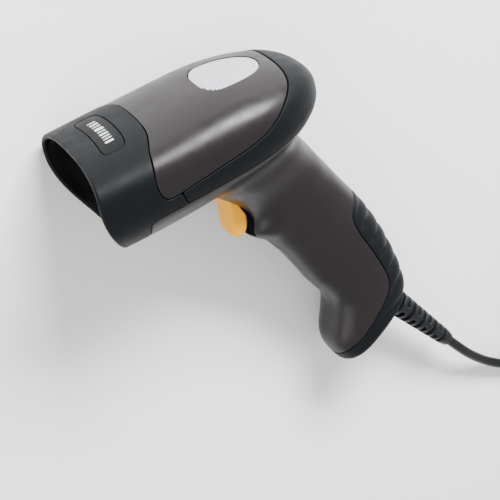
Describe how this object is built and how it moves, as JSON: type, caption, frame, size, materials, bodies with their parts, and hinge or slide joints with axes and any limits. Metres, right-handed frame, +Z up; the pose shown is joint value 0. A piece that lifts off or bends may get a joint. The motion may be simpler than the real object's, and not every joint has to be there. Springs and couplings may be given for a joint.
{
  "type": "handheld barcode scanner",
  "caption": "Pistol-form handheld barcode scanner with a rubber-bumpered nose, pivoting trigger, scan window and coiled USB cable, laid on its side.",
  "frame": {"origin": "on the surface it lies on, under the middle of the scanner's own bounding box, cable left out", "axes": "+Z up from the surface, +X the way the nose points, +Y from the head towards the butt of the grip"},
  "size_m": [0.273, 0.2295, 0.0703],
  "materials": {
    "rubber": "fine matt grain, dark blue-grey",
    "housing": "satin moulded plastic, dark warm grey",
    "badge": "satin plate with a light printed mark",
    "light_window": "translucent white with fine ribs",
    "black_plastic": "matt black moulding",
    "scan_glass": "polished, dark red tint",
    "circuit_board": "green solder mask",
    "lamp": "clear encapsulated light",
    "trigger": "smooth amber plastic",
    "steel": "plated",
    "ivory": "plain connector plastic",
    "plug_clear": "translucent moulding",
    "cable": "smooth cable sheath, near black"
  },
  "bodies": {
    "housing": {"nose_bumper": "rubber", "name_badge": "badge", "top_cover": "housing", "light_window": "light_window", "rear_band": "rubber", "lower_housing": "housing", "cover_screw_1": "steel", "cover_screw_2": "steel", "board_screw_1": "steel", "board_screw_2": "steel", "ribbon_cable": "ivory", "internal_lead": "cable", "grip_pad": "rubber", "nose_tunnel": "black_plastic", "exit_window": "scan_glass", "window_gasket": "black_plastic", "engine_chassis": "black_plastic", "lens_barrel": "black_plastic", "sensor_board": "circuit_board", "led_board": "circuit_board", "scan_lamp_1": "lamp", "scan_lamp_2": "lamp", "scan_lamp_3": "lamp", "scan_lamp_4": "lamp", "main_board": "circuit_board", "decoder_chip": "black_plastic", "memory_chip": "black_plastic", "ribbon_connector": "ivory", "cable_header": "ivory", "beeper": "black_plastic", "status_lamp_1": "lamp", "status_lamp_2": "lamp", "trigger_pin": "steel", "switch_board": "circuit_board", "switch_body": "black_plastic", "cable_socket": "ivory", "cable_plug": "plug_clear", "cable_boot": "cable", "cable_run": "cable", "cable_coil": "cable", "cable_tail": "cable", "coil_tie": "black_plastic", "usb_overmold": "cable", "usb_shell": "steel", "usb_tongue": "ivory"},
    "trigger": {"trigger": "trigger"},
    "plunger": {"switch_plunger": "ivory"}
  },
  "joints": [
    {"name": "trigger_pull", "type": "hinge", "parent": "housing", "child": "trigger", "pos_m": [0.01724, -0.0523, 0.0323], "axis": [0, 0.1413, 0.99], "range_deg": [0, 5], "stiffness_Nm_per_rad": 0.6},
    {"name": "plunger_press", "type": "slide", "parent": "housing", "child": "plunger", "axis": [-1, 0, 0], "range_m": [0, 0.0022]}
  ],
  "couplings": [
    {"joint": "plunger_press", "follows": "trigger_pull", "m_per_rad": 0.0234}
  ]
}
